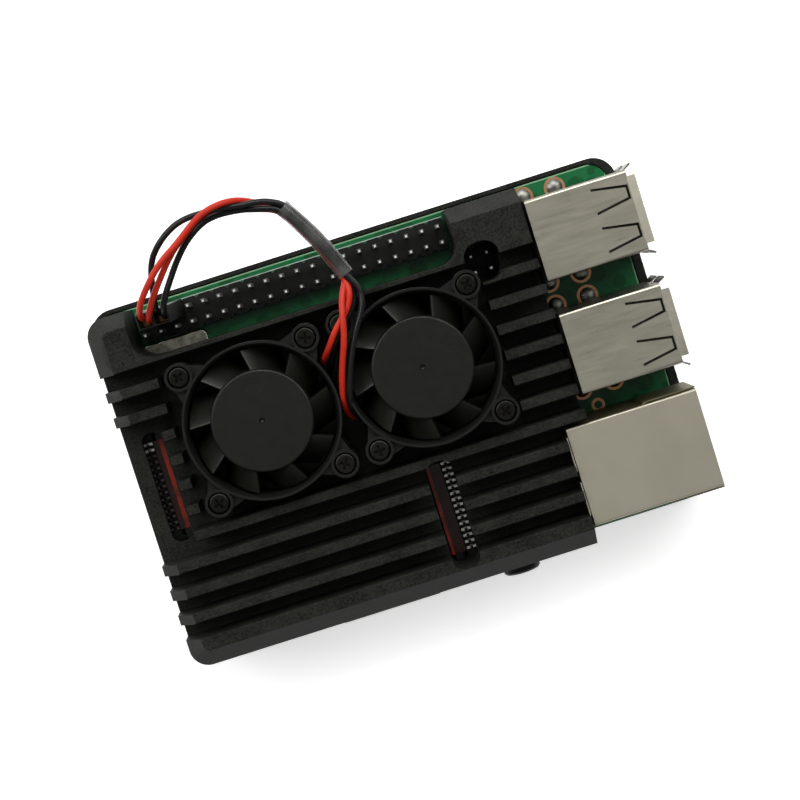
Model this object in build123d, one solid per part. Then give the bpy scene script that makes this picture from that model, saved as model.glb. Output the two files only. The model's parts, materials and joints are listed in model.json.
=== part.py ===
from build123d import *
import math
import os

# Single board computer in a two-part finned heatsink case with two small fans.
# All sizes are in millimetres. Shapes are drawn in the board's own frame: its origin is the corner of the
# circuit board between the power socket and the memory card, +X runs along the long edge towards the USB
# ports, +Y runs towards the pin header and Z = 0 is the board's upper face. save() moves every piece to the
# part's frame, whose origin is the middle of the case's underside.

# ---------------------------------------------------------------- driving sizes
BOARD_L = 85.0
BOARD_W = 56.0
BOARD_T = 1.4
BOARD_R = 3.0
SCREW_XY = [(3.5, 3.5), (61.5, 3.5), (3.5, 52.5), (61.5, 52.5)]
SCREW_HOLE_R = 1.375

# lower half of the case
LOWER_X = (-0.8, 86.6)
LOWER_Y = (-0.9, 56.9)
LOWER_R = 3.8
LOWER_BOTTOM = -8.0
LOWER_FLOOR = -4.6
LOWER_RIM = -0.5

# upper half of the case
UPPER_X = (0.05, 69.5)
UPPER_Y = (-0.5, 55.85)
UPPER_R = 3.0
UPPER_TOP = 14.6
CHAMFER_START = 11.2
CHAMFER_X = 2.75
CHAMFER_Y_FRONT = 2.8
CHAMFER_Y_BACK = 2.3
GROOVE_FLOOR = 7.8
CEILING = 6.7
PITCH = 4.02
FIN_W = 1.6
FIRST_GROOVE_Y = 4.38
EDGE_BREAK = 0.18
NETWORK_NOTCH = (65.6, 18.9)
POCKET_X = (8.8, 60.4)

# fans
FAN_XY = [(22.25, 33.8), (47.8, 34.15)]
FAN_BASE = GROOVE_FLOOR
FAN_H = 10.0
FAN_RING_R = 12.1
FAN_BORE_R = 11.4
FAN_SCREW_PITCH = 20.0
FAN_BOSS_R = 2.15
HUB_R = 7.85
BLADE_TIP_R = 11.0
BLADES = 9
BLADE_SWEEP = 14.8
ROTOR_TURN = [5.4, -58.0]

# pin header
PIN_PITCH = 2.54
PIN_SIDE = 0.64
PIN_TIP = 8.5
PIN_TAIL = -3.0
HEADER_X0 = 8.37
HEADER_ROWS_Y = (51.23, 53.77)
HEADER_COLUMNS = 20
HEADER_BASE_H = 2.5
POWER_HEADER_XY = [(60.15, 45.17), (62.69, 45.17), (60.15, 47.71), (62.69, 47.71)]

# connectors along the right end
USB_Y = [47.05, 29.1]
USB_X = (69.9, 85.9)
USB_W = 12.8
USB_H = 15.6
USB_WALL = 0.3
USB_LIP_X = 87.1
NETWORK_X = (65.95, 86.8)
NETWORK_Y = 10.35
NETWORK_W = 15.7
NETWORK_H = 13.4

# connectors along the front edge
POWER_X = 10.6
VIDEO_X = 32.0
AUDIO_X = 53.5
AUDIO_BARREL_Y = -2.5

# flat cable connectors
CAMERA_X = 45.6
CAMERA_Y = 10.93
DISPLAY_X = 4.2
DISPLAY_Y = 27.8
CONTACT_PITCH = 1.0
CONTACTS = 15

# fan leads, their clear sleeve and their two-way connector, which leans on header pins 4 and 6
LEAD_R = 0.48
SLEEVE_PATH = [(34.9, 63.4, 20.3), (37.0, 60.0, 19.7), (38.9, 56.4, 19.1), (41.0, 51.1, 18.6)]
SLEEVE_BORE_R = 1.19
SLEEVE_R = 1.29
SLEEVE_SIDE = (0.896, 0.444)
BUNDLE_R = 0.69
BUNDLE_TWIST = -30.0
PLUG_FOOT = (12.40, 53.87, 2.85)
PLUG_LEAN = (2.0, -5.0)
PLUG_H = 13.8
CRIMP_TOP = 11.0

# the part's frame
OVERALL_X = (LOWER_X[0], USB_LIP_X)
OVERALL_Y = (AUDIO_BARREL_Y, LOWER_Y[1])
SHIFT = Pos(-(OVERALL_X[0] + OVERALL_X[1]) / 2, -(OVERALL_Y[0] + OVERALL_Y[1]) / 2, -LOWER_BOTTOM)

os.makedirs("parts", exist_ok=True)


# ---------------------------------------------------------------- helpers
def save(name, *shapes):
    """Writes one node: a single solid, or a group of separate solids."""
    solids = []
    for shape in shapes:
        solids.extend((SHIFT * shape).solids())
    node = solids[0] if len(solids) == 1 else Compound(children=solids)
    export_step(node, f"parts/{name}.step")


def block(x0, x1, y0, y1, z0, z1):
    """A box given by its limits along each axis, in either order."""
    centre = Pos((x0 + x1) / 2, (y0 + y1) / 2, (z0 + z1) / 2)
    return centre * Box(abs(x1 - x0), abs(y1 - y0), abs(z1 - z0))


def rod(x, y, z0, z1, radius):
    """An upright cylinder."""
    return Pos(x, y, (z0 + z1) / 2) * Cylinder(radius, z1 - z0)


def slab(x0, x1, y0, y1, z0, z1, radius):
    """An upright prism on a rectangle with rounded corners."""
    outline = Pos((x0 + x1) / 2, (y0 + y1) / 2, z0) * RectangleRounded(x1 - x0, y1 - y0, radius)
    return extrude(outline, amount=z1 - z0, dir=(0, 0, 1))


def along_x(points, x0, x1):
    """A prism along X on an outline given as (y, z) points."""
    prism = extrude(Plane.YZ * Polygon(*points, align=None), amount=x1 - x0, dir=(1, 0, 0))
    return Pos(x0, 0, 0) * prism


def along_y(points, y0, y1):
    """A prism along Y on an outline given as (x, z) points."""
    prism = extrude(Plane.XZ * Polygon(*points, align=None), amount=y1 - y0, dir=(0, 1, 0))
    return Pos(0, y0, 0) * prism


def upright(points, z0, z1):
    """A prism along Z on an outline given as (x, y) points."""
    prism = extrude(Polygon(*points, align=None), amount=z1 - z0, dir=(0, 0, 1))
    return Pos(0, 0, z0) * prism


# ---------------------------------------------------------------- lower half of the case
def lower_heatsink():
    x0, x1 = LOWER_X
    y0, y1 = LOWER_Y
    shell = slab(x0, x1, y0, y1, LOWER_BOTTOM, LOWER_RIM, LOWER_R)
    gap = 0.25
    recess = slab(-gap, BOARD_L + gap, -gap, BOARD_W + gap, -BOARD_T, 1, BOARD_R + gap)
    inset = 1.3
    cavity = slab(inset, BOARD_L - inset, inset, BOARD_W - inset, LOWER_FLOOR, 1, 2.0)
    body = shell - recess - cavity
    for x, y in SCREW_XY:
        body += rod(x, y, LOWER_FLOOR - 0.5, -BOARD_T, 3.2)
    body += block(18.9, 31.9, 26.5, 39.5, LOWER_FLOOR - 0.5, -3.0)
    cutters = [rod(x, y, LOWER_BOTTOM - 1, 0, SCREW_HOLE_R) for x, y in SCREW_XY]
    cutters += [rod(x, y, LOWER_BOTTOM - 1, LOWER_BOTTOM + 2.4, 2.6) for x, y in SCREW_XY]
    for i in range(11):
        y = 8.2 + i * PITCH
        cutters.append(slab(8.0, 78.0, y - 1.0, y + 1.0, LOWER_BOTTOM - 1, LOWER_BOTTOM + 1.6, 0.99))
    cutters.append(slab(x0 - 4, 6.2, 20.6, 35.4, LOWER_BOTTOM - 1, 1, 2.5))
    # the front wall stands lower beside the network socket
    cutters.append(block(66.2, x1 + 1, y0 - 1, 0.3, -5.2, 1))
    return body - cutters


# ---------------------------------------------------------------- upper half of the case
def upper_block():
    """The solid block with its sloping shoulders, before anything is cut out of it."""
    x0, x1 = UPPER_X
    y0, y1 = UPPER_Y
    spare = 8.0
    base = slab(x0, x1 + spare, y0, y1, 0, CHAMFER_START, UPPER_R)
    low = Pos((x0 + x1 + spare) / 2, (y0 + y1) / 2, CHAMFER_START)
    low *= RectangleRounded(x1 + spare - x0, y1 - y0, UPPER_R)
    ty0 = y0 + CHAMFER_Y_FRONT
    ty1 = y1 - CHAMFER_Y_BACK
    tx0 = x0 + CHAMFER_X
    high = Pos((tx0 + x1 + spare) / 2, (ty0 + ty1) / 2, UPPER_TOP)
    high *= RectangleRounded(x1 + spare - tx0, ty1 - ty0, 1.0)
    shoulder = loft([low, high])
    beyond = block(x1, x1 + 2 * spare, y0 - 1, y1 + 1, -1, UPPER_TOP + 1)
    beside_network = block(NETWORK_NOTCH[0], x1 + 1, y0 - 1, NETWORK_NOTCH[1], -1, UPPER_TOP + 1)
    return base + shoulder - [beyond, beside_network]


def groove(index):
    """One groove between two fins, with a small break on the fins' upper edges."""
    y0 = FIRST_GROOVE_Y + index * PITCH
    y1 = y0 + PITCH - FIN_W
    c = EDGE_BREAK
    top = UPPER_TOP
    points = [(y0, GROOVE_FLOOR), (y1, GROOVE_FLOOR), (y1, top - c), (y1 + c, top), (y1 + c, top + 1),
              (y0 - c, top + 1), (y0 - c, top), (y0, top - c)]
    return along_x(points, UPPER_X[0] - 1, UPPER_X[1] + 1)


def upper_heatsink():
    body = upper_block()
    x0, x1 = UPPER_X
    y0, y1 = UPPER_Y
    cavity = block(1.6, x1 + 1, 1.1, 46.9, -1, CEILING)
    body -= cavity
    for x, y in SCREW_XY[:2]:
        body += rod(x, y, 0, CEILING + 0.3, 3.2)
    # pillars that reach down to the chips
    body += block(18.0, 33.0, 24.5, 39.5, 2.5, CEILING + 0.3)
    body += block(52.0, 63.0, 27.5, 38.5, 1.9, CEILING + 0.3)
    half = FAN_SCREW_PITCH / 2
    for cx, cy in FAN_XY:
        for sx in (-half, half):
            for sy in (-half, half):
                body += rod(cx + sx, cy + sy, 4.4, CEILING + 0.3, 1.9)
    cutters = [groove(i) for i in range(11)]
    fan_pocket_y0 = FIRST_GROOVE_Y + 4 * PITCH
    fan_pocket_y1 = FIRST_GROOVE_Y + 10 * PITCH + PITCH - FIN_W
    cutters.append(slab(*POCKET_X, fan_pocket_y0, fan_pocket_y1, GROOVE_FLOOR, UPPER_TOP + 1, 0.6))
    # flat area round the display connector, level with the grooves
    cutters.append(slab(x0 - 6, 6.9, FIRST_GROOVE_Y + 3 * PITCH, FIRST_GROOVE_Y + 9 * PITCH - FIN_W,
                        GROOVE_FLOOR, UPPER_TOP + 1, 2.4))
    # slots for the pin header, the power header and the two flat cables
    cutters.append(slab(6.65, 58.3, 47.8, y1 + 8, -1, UPPER_TOP + 1, 3.0))
    cutters.append(slab(58.7, 64.2, 43.5, 49.7, -1, UPPER_TOP + 1, 2.3))
    cutters.append(block(58.7, 64.2, 43.5, 49.7, -1, 3.0))
    cutters.append(block(6.0, 57.0, 46.8, 50.2, -1, 2.3))
    cutters.append(block(43.0, 46.2, 0.3, 1.5, -1, CEILING))
    cutters.append(slab(43.3, 47.6, 2.4, 19.6, -1, UPPER_TOP + 1, 1.7))
    cutters.append(slab(2.6, 5.8, 18.9, 36.7, -1, UPPER_TOP + 1, 1.4))
    # openings in the front wall
    cutters.append(block(5.8, 15.4, y0 - 1, 1.5, -1, 3.6))
    cutters.append(block(23.8, 40.2, y0 - 1, 1.5, -1, CEILING))
    cutters.append(block(49.7, 57.3, y0 - 1, 1.5, -1, CEILING))
    # screw holes
    cutters += [rod(x, y, -1, 7.2, 1.27) for x, y in SCREW_XY]
    for cx, cy in FAN_XY:
        for sx in (-half, half):
            for sy in (-half, half):
                cutters.append(rod(cx + sx, cy + sy, 3, GROOVE_FLOOR + 1, 1.0))
    return body - cutters


def case_screws():
    """Four cross-head screws that enter from below and clamp the board between the two halves."""
    screws = []
    for x, y in SCREW_XY:
        head = rod(x, y, LOWER_BOTTOM + 0.4, LOWER_BOTTOM + 2.4, 2.3)
        head = fillet(head.edges().group_by(Axis.Z)[0], 0.5)
        shank = rod(x, y, LOWER_BOTTOM + 2.3, 6.2, 1.22)
        cross = block(x - 1.2, x + 1.2, y - 0.28, y + 0.28, LOWER_BOTTOM, LOWER_BOTTOM + 1.5)
        cross += block(x - 0.28, x + 0.28, y - 1.2, y + 1.2, LOWER_BOTTOM, LOWER_BOTTOM + 1.5)
        screws.append(head + shank - cross)
    return screws


# ---------------------------------------------------------------- circuit board and its chips
def pin_places():
    places = []
    for row_y in HEADER_ROWS_Y:
        for i in range(HEADER_COLUMNS):
            places.append((HEADER_X0 + i * PIN_PITCH, row_y))
    return places


def circuit_board():
    board = slab(0, BOARD_L, 0, BOARD_W, -BOARD_T, 0, BOARD_R)
    cutters = [rod(x, y, -2, 1, SCREW_HOLE_R) for x, y in SCREW_XY]
    cutters += [rod(x, y, -2, 1, 0.5) for x, y in pin_places() + POWER_HEADER_XY]
    return board - cutters


def pin(x, y):
    """One square header pin with tapered ends."""
    shaft = block(x - PIN_SIDE / 2, x + PIN_SIDE / 2, y - PIN_SIDE / 2, y + PIN_SIDE / 2, PIN_TAIL, PIN_TIP)
    return chamfer(shaft.faces().sort_by(Axis.Z)[-1].edges(), 0.16)


def header_base(places, x0, x1, y0, y1):
    """A pin header's plastic strip, notched between the pins, with a square hole for each pin."""
    strip = block(x0, x1, y0, y1, 0, HEADER_BASE_H)
    side = PIN_SIDE / 2
    cutters = [block(x - side, x + side, y - side, y + side, -1, 4) for x, y in places]
    count = round((x1 - x0) / PIN_PITCH)
    notch = 0.42
    for i in range(count + 1):
        x = x0 + i * PIN_PITCH
        for y in (y0, y1):
            points = [(x - notch, y), (x, y - notch), (x + notch, y), (x, y + notch)]
            cutters.append(upright(points, -1, HEADER_BASE_H + 1))
    return strip - cutters


def chip(x, y, side_x, side_y, z0, z1):
    package = block(x - side_x / 2, x + side_x / 2, y - side_y / 2, y + side_y / 2, z0, z1)
    return chamfer(package.edges().group_by(Axis.Z)[-1], 0.12)


def main_processor():
    """The processor: a square carrier under a smaller metal lid with stepped edges."""
    carrier = block(18.4, 32.4, 25.0, 39.0, 0, 0.9)
    lid = slab(19.2, 31.6, 25.8, 38.2, 0.9, 2.0, 0.8)
    return carrier + lid


def thermal_pads():
    pad_on_processor = block(19.4, 31.4, 26.0, 38.0, 2.0, 2.5)
    pad_on_network_chip = block(52.6, 62.4, 28.1, 37.9, 1.3, 1.9)
    pad_on_memory = block(19.6, 31.2, 27.2, 38.8, -3.0, -2.5)
    return [pad_on_processor, pad_on_network_chip, pad_on_memory]


def radio_shield():
    """The pressed metal can over the radio, hollow underneath."""
    can = slab(6.3, 17.1, 38.6, 49.7, 0, 1.8, 1.2)
    can = fillet(can.edges().group_by(Axis.Z)[-1], 0.35)
    return can - slab(6.5, 16.9, 38.8, 49.5, -1, 1.6, 1.0)


def surface_parts():
    """Coils, capacitors and small chips beside the main chips, above and below the board."""
    sized = [
        (13.0, 14.0, 4.0, 4.0, 2.0), (18.0, 14.0, 4.0, 4.0, 2.0), (11.5, 8.3, 5.0, 3.6, 1.1),
        (20.2, 8.2, 5.0, 5.0, 0.9), (36.2, 17.5, 2.5, 2.0, 0.9), (37.2, 27.5, 3.2, 1.6, 1.4),
        (41.5, 30.5, 1.6, 0.8, 0.8), (41.5, 34.0, 1.6, 0.8, 0.8), (38.0, 40.5, 5.0, 3.2, 1.0),
        (46.5, 41.0, 3.2, 2.5, 0.8), (48.0, 24.5, 1.6, 0.8, 0.8), (48.0, 36.5, 2.0, 1.2, 0.9),
        (60.6, 24.6, 6.3, 3.2, 2.0), (28.0, 44.2, 3.2, 1.6, 1.2), (34.5, 44.2, 1.6, 0.8, 0.8),
        (13.0, 33.5, 2.0, 1.2, 0.9), (13.0, 29.5, 2.0, 1.2, 0.9), (57.6, 19.8, 3.0, 3.0, 0.9),
    ]
    parts = [chip(x, y, a, b, 0, h) for x, y, a, b, h in sized]
    for i in range(6):
        parts.append(chip(38.0 + 3.4 * i, 33.0, 1.6, 0.8, -BOARD_T - 0.8, -BOARD_T))
    return parts


def status_lights():
    lights = [chip(x, y, 1.6, 0.8, 0, 0.6) for x, y in ((2.9, 9.0), (2.9, 12.2))]
    return lights


def card_socket():
    """The memory card socket under the board: a thin metal box, open towards the board's left edge."""
    top = -BOARD_T
    outer = block(2.2, 16.0, 21.4, 34.6, top - 1.5, top)
    slot = block(1.0, 15.4, 22.3, 33.6, top - 1.25, top - 0.35)
    window = slab(7.0, 13.0, 25.0, 31.0, top - 2, top - 1.2, 1.0)
    return outer - slot - window


def solder_places():
    places = []
    for cy in USB_Y:
        for x in (71.3, 76.6):
            places += [(x, cy + 7.05), (x, cy - 7.05)]
    return places


def clear_of_shells():
    """The ground that the metal shells and the case cover, where no copper ring shows."""
    covers = [block(69, 88, cy - USB_W / 2, cy + USB_W / 2, -1, 9) for cy in USB_Y]
    covers.append(block(60, 88, 0, NETWORK_Y + NETWORK_W / 2, -1, 9))
    covers.append(block(0, 69.55, 0, 56, -1, 9))
    return covers


def copper_rings():
    """Bare copper rings round the legs of the USB shells and one test point."""
    rings = []
    for x, y in solder_places():
        rings.append(rod(x, y, 0, 0.06, 1.72) - rod(x, y, -1, 1, 1.28) - clear_of_shells())
    rings.append(rod(73.1, 18.9, 0, 0.06, 1.1) - rod(73.1, 18.9, -1, 1, 0.62) - clear_of_shells())
    return rings


def solder_joints():
    """Flat domes of solder inside the copper rings, beside the connectors' legs."""
    joints = []
    for x, y in solder_places():
        dome = Pos(x, y, -1.6) * Sphere(2.1)
        dome &= rod(x, y, 0, 1, 1.28)
        joints.append(dome - clear_of_shells())
    return joints


# ---------------------------------------------------------------- USB connectors
def spring_slot(cx, cy, z0, z1):
    """The slot that frees a tapered spring tongue: two slanting sides and an end, open at the root."""
    w = 0.4
    root, tip = cx - 5.9, cx - 0.3
    half_root, half_tip = 1.66, 0.7
    cutters = []
    for s in (-1, 1):
        cutters.append(upright([
            (root, cy + s * half_root), (tip, cy + s * half_tip),
            (tip, cy + s * (half_tip + w)), (root, cy + s * (half_root + w)),
        ], z0, z1))
    cutters.append(block(tip - w, tip, cy - half_tip - w, cy + half_tip + w, z0, z1))
    return cutters


def usb_shell(cy):
    """The folded steel box of a double socket, with its flared front lips and spring slots."""
    x0, x1 = USB_X
    half = USB_W / 2
    wall = USB_WALL
    outer = block(x0, x1, cy - half, cy + half, 0.02, USB_H)
    outer = fillet(outer.edges().filter_by(Axis.X).group_by(Axis.Z)[-1], 0.5)
    inner = block(x0 + wall, x1 + 1, cy - half + wall, cy + half - wall, 0.02 + wall, USB_H - wall)
    inner = fillet(inner.edges().filter_by(Axis.X).group_by(Axis.Z)[-1], 0.25)
    shell = outer - inner
    # web between the two sockets
    web = block(78.5, x1, cy - half + wall, cy + half - wall, 7.35, 8.25)
    shell += web - block(78.8, x1 + 1, cy - half + 2 * wall, cy + half - 2 * wall, 7.65, 7.95)
    lip = USB_LIP_X
    top = [(x1 - 0.25, USB_H - wall), (x1 - 0.1, USB_H), (lip - 0.1, USB_H + 0.45), (lip, USB_H + 0.2)]
    shell += along_y(top, cy - 5.3, cy + 5.3)
    for s in (-1, 1):
        for z0, z1 in ((1.2, 6.6), (9.0, 14.4)):
            points = [(x1 - 0.3, cy + s * (half - wall)), (x1 - 0.1, cy + s * half),
                      (lip - 0.15, cy + s * (half + 0.75)), (lip, cy + s * (half + 0.5))]
            shell += upright(points, z0, z1)
    cutters = []
    for s in (-1, 1):
        cutters += spring_slot(x1, cy + 3.0 * s, USB_H - 1, USB_H + 1)
    for z in (4.0, 11.6):
        for part in spring_slot(x1, 0, -1, 1):
            standing = Pos(0, 0, z) * (Rot(90, 0, 0) * part)
            cutters += [Pos(0, cy - half, 0) * standing, Pos(0, cy + half, 0) * standing]
    return shell - cutters


def usb_insert(cy):
    """The plastic core of a double socket: a back block with one tongue for each socket."""
    back = block(70.25, 77.5, cy - 6.05, cy + 6.05, 0.4, 15.2)
    tongues = [block(77.5, 85.7, cy - 5.6, cy + 5.6, z, z + 1.8) for z in (4.3, 11.9)]
    return fillet((back + tongues).edges().filter_by(Axis.Y).group_by(Axis.X)[-1], 0.35)


def usb_contacts(cy):
    contacts = []
    for z in (4.3, 11.9):
        for offset in (-3.5, -1.0, 1.0, 3.5):
            strip = block(77.6, 84.2, cy + offset - 0.5, cy + offset + 0.5, z - 0.18, z)
            contacts.append(strip)
    return contacts


# ---------------------------------------------------------------- network connector
def network_shield():
    x0, x1 = NETWORK_X
    half = NETWORK_W / 2
    wall = 0.25
    y0, y1 = NETWORK_Y - half, NETWORK_Y + half
    outer = block(x0, x1, y0, y1, 0.02, NETWORK_H)
    outer = fillet(outer.edges().filter_by(Axis.X).group_by(Axis.Z)[-1], 0.35)
    shell = outer - block(x0 + wall, x1 - wall, y0 + wall, y1 - wall, 0.02 + wall, NETWORK_H - wall)
    # mouth of the socket and the windows of its two lamps
    shell -= block(x1 - 1, x1 + 1, NETWORK_Y - 6.0, NETWORK_Y + 6.0, 2.4, 9.7)
    shell -= block(x1 - 1, x1 + 1, NETWORK_Y - 3.2, NETWORK_Y + 3.2, 0.9, 2.5)
    for s in (-1, 1):
        shell -= block(x1 - 1, x1 + 1, NETWORK_Y + s * 5.2 - 1.5, NETWORK_Y + s * 5.2 + 1.5, 10.4, 12.4)
    # folded tabs at the back and springs on both sides
    for ya, yb in ((4.3, 9.6), (11.4, 16.8)):
        shell += block(x0 - 0.32, x0 - 0.14, ya, yb, 0.6, NETWORK_H - 0.1)
        shell += block(x0 - 0.32, x0 + 0.1, ya, yb, 0.6, 1.0)
    for s in (-1, 1):
        edge = NETWORK_Y + s * half
        spring = [(78.2, edge), (78.6, edge + s * 0.32), (x1 + 0.05, edge + s * 0.32),
                  (x1 + 0.05, edge + s * 0.14), (79.0, edge + s * 0.14), (78.7, edge)]
        shell += upright(spring, 2.0, NETWORK_H - 0.6)
    return shell


def network_insert():
    x0, x1 = NETWORK_X
    core = block(x0 + 0.3, x1 - 0.3, NETWORK_Y - 7.5, NETWORK_Y + 7.5, 0.35, NETWORK_H - 0.3)
    mouth = block(74.0, x1 + 1, NETWORK_Y - 5.9, NETWORK_Y + 5.9, 2.5, 9.6)
    latch = block(77.0, x1 + 1, NETWORK_Y - 3.1, NETWORK_Y + 3.1, 1.0, 3.0)
    cutters = [mouth, latch]
    for s in (-1, 1):
        middle = NETWORK_Y + s * 5.2
        cutters.append(block(78.0, x1 + 1, middle - 1.45, middle + 1.45, 10.45, 12.35))
    return core - cutters


def network_contacts():
    """Eight sprung wires that slope down from the roof of the socket."""
    wires = []
    for i in range(8):
        y = NETWORK_Y + (i - 3.5) * 1.02
        points = [(84.6, 9.2), (84.6, 9.55), (76.6, 9.55), (76.0, 7.9), (76.25, 7.8), (77.0, 9.2)]
        wires.append(along_y(points, y - 0.22, y + 0.22))
    return wires


def network_lamps():
    lamps = []
    for s in (-1, 1):
        middle = NETWORK_Y + s * 5.2
        lamps.append(block(78.5, NETWORK_X[1] - 0.05, middle - 1.35, middle + 1.35, 10.55, 12.25))
    return lamps


# ---------------------------------------------------------------- front connectors
def video_profile(grow, z_mid=3.15):
    """The outline of the video socket, wide above and narrowed below."""
    half, top, low = 7.0 + grow, 2.3 + grow, 2.3 + grow
    return [(VIDEO_X - half, z_mid + top), (VIDEO_X + half, z_mid + top), (VIDEO_X + half, z_mid - 0.6),
            (VIDEO_X + half - 1.9, z_mid - low), (VIDEO_X - half + 1.9, z_mid - low),
            (VIDEO_X - half, z_mid - 0.6)]


def video_shell():
    shell = block(VIDEO_X - 7.5, VIDEO_X + 7.5, -0.9, 10.6, 0.02, 6.1)
    shell += along_y(video_profile(0.85), -1.45, -0.9)
    shell -= along_y(video_profile(0.0), -2, 10.2)
    return shell


def video_insert():
    back = along_y(video_profile(-0.02), 7.6, 10.2)
    tongue = block(VIDEO_X - 6.4, VIDEO_X + 6.4, 0.4, 7.6, 2.75, 3.75)
    return back + tongue


def power_profile(grow):
    z = 1.45
    return [(POWER_X - 3.45 - grow, z + 1.0 + grow), (POWER_X + 3.45 + grow, z + 1.0 + grow),
            (POWER_X + 3.45 + grow, z - 0.2), (POWER_X + 2.7 + grow, z - 0.9 - grow),
            (POWER_X - 2.7 - grow, z - 0.9 - grow), (POWER_X - 3.45 - grow, z - 0.2)]


def power_shell():
    shell = along_y(power_profile(0.3), -0.9, 4.4)
    shell += along_y(power_profile(0.5), -1.2, -0.9)
    return shell - along_y(power_profile(0.0), -2, 4.1)


def power_insert():
    back = block(POWER_X - 2.6, POWER_X + 2.6, 2.8, 4.1, 0.65, 2.4)
    return back + block(POWER_X - 1.8, POWER_X + 1.8, -0.3, 2.8, 1.65, 2.25)


def audio_jack():
    body = block(AUDIO_X - 3.5, AUDIO_X + 3.5, 0.0, 12.0, 0.02, 6.0)
    body = chamfer(body.edges().filter_by(Axis.Y).group_by(Axis.Z)[-1], 0.4)
    barrel = Pos(AUDIO_X, AUDIO_BARREL_Y / 2, 3.02) * Rot(90, 0, 0) * Cylinder(2.95, -AUDIO_BARREL_Y)
    barrel = chamfer(barrel.edges().group_by(Axis.Y)[0], 0.3)
    bore = Pos(AUDIO_X, 4.0, 3.02) * Rot(90, 0, 0) * Cylinder(1.8, 14.0)
    return body + barrel - bore


def audio_contacts():
    """Four sprung contact strips inside the bore's far end."""
    strips = []
    for i, y in enumerate((2.6, 5.0, 7.4, 9.8)):
        side = 1 if i % 2 else -1
        strips.append(block(AUDIO_X + side * 1.55 - 0.12, AUDIO_X + side * 1.55 + 0.12, y - 0.5, y + 0.5, 2.6, 3.4))
    return strips


# ---------------------------------------------------------------- flat cable connectors
def cable_housing(x, y, side):
    """The fixed half of a lift-to-open flat cable connector. side is the side that its contacts are on."""
    body = block(x - 2.3, x + 2.3, y - 9.0, y + 9.0, 0, 4.4)
    trench = block(x - side * 1.9, x + side * 0.3, y - 8.4, y + 8.4, 1.0, 6)
    cutters = [trench]
    for i in range(CONTACTS):
        cy = y + (i - (CONTACTS - 1) / 2) * CONTACT_PITCH
        cutters.append(block(x + side * 0.3, x + side * 2.05, cy - 0.28, cy + 0.28, 1.0, 6))
    return body - cutters


def cable_contacts(x, y, side):
    """Forked contacts, each with two prongs that show in the housing's slots."""
    forks = []
    for i in range(CONTACTS):
        cy = y + (i - (CONTACTS - 1) / 2) * CONTACT_PITCH
        fork = block(x + side * 0.45, x + side * 1.95, cy - 0.2, cy + 0.2, 1.05, 4.9)
        notch = block(x + side * 1.2 - 0.25, x + side * 1.2 + 0.25, cy - 1, cy + 1, 3.2, 6)
        forks.append(fork - notch)
    return forks


def cable_latch(x, y, side):
    """The bar that lifts to free a flat cable, with an ear at each end to pull it by."""
    a, b = x - side * 1.8, x - side * 0.2
    bar = block(a, b, y - 8.2, y + 8.2, 1.4, 5.3)
    for s in (-1, 1):
        ear_y = y + s * 9.75
        bar += block(a, b, ear_y - 0.6, ear_y + 0.6, 1.4, 5.3)
        bar += block(a, b, y + s * 9.2 - 1.1, y + s * 9.2 + 1.1, 4.6, 5.3)
    return fillet(bar.edges().filter_by(Axis.Y).group_by(Axis.Z)[-1], 0.25)


def cable_film(x, y, side):
    """The thin amber film that covers the latch, folded down over its outer side."""
    outer = x - side * 2.05
    film = block(outer, x + side * 0.25, y - 7.3, y + 7.3, 5.3, 5.42)
    return film + block(outer, outer + side * 0.12, y - 7.3, y + 7.3, 4.6, 5.42)


# ---------------------------------------------------------------- fans
def blade():
    """One curved blade, before the hub and the tip circle trim it. It lies flattest along its top edge."""
    z0, z1 = FAN_BASE + 1.9, FAN_BASE + 9.2
    upper = ThreePointArc((-4.9, z0), (-3.45, z0 + 4.3), (0, z1))
    under = ThreePointArc((0.2, z1 - 0.5), (-2.97, z0 + 4.0), (-4.35, z0))
    edge = Line(upper @ 1, under @ 0)
    foot = Line(under @ 1, upper @ 0)
    profile = make_face([upper, edge, under, foot])
    inside_hub = 5.0
    swept = extrude(Plane.YZ * profile, amount=inside_hub + 4.2, dir=(1, 0, 0))
    return Pos(HUB_R, 0, 0) * (Rot(0, 0, BLADE_SWEEP) * (Pos(-inside_hub, 0, 0) * swept))


def fan_rotor(index):
    """The hub cup and its blades, turned to where the blades stand at rest."""
    base, top = FAN_BASE + 1.8, FAN_BASE + 9.6
    hub = rod(0, 0, base, top, HUB_R)
    hub = fillet(hub.edges().group_by(Axis.Z)[-1], 0.4)
    hub -= rod(0, 0, base - 1, top - 0.8, HUB_R - 0.5)
    hub += rod(0, 0, top - 1.9, top - 0.7, 1.3)
    hub -= rod(0, 0, base, top - 0.5, 0.5)
    hub -= Pos(0, 0, top + 0.15) * Sphere(0.5)
    mark = rod(0.86, 5.43, top - 0.06, top + 1, 1.2)
    hub -= mark
    swept = rod(0, 0, base, top, BLADE_TIP_R) - rod(0, 0, base - 1, top + 1, HUB_R - 0.25)
    first = blade() & swept
    rotor = hub
    for i in range(BLADES):
        rotor += Rot(0, 0, i * 360 / BLADES) * first
    cx, cy = FAN_XY[index]
    return Pos(cx, cy, 0) * Rot(0, 0, ROTOR_TURN[index]) * rotor


def fan_corner_web(angle):
    """The flat web that ties one corner boss to the fan's ring."""
    reach = FAN_SCREW_PITCH / 2 * math.sqrt(2)
    spread = math.radians(17)
    mid = math.radians(angle)
    r = FAN_RING_R - 0.3
    across = FAN_BOSS_R * 0.95
    ux, uy = math.cos(mid), math.sin(mid)
    return [
        (r * math.cos(mid - spread), r * math.sin(mid - spread)),
        (reach * ux + across * uy, reach * uy - across * ux),
        (reach * ux - across * uy, reach * uy + across * ux),
        (r * math.cos(mid + spread), r * math.sin(mid + spread)),
    ]


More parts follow.
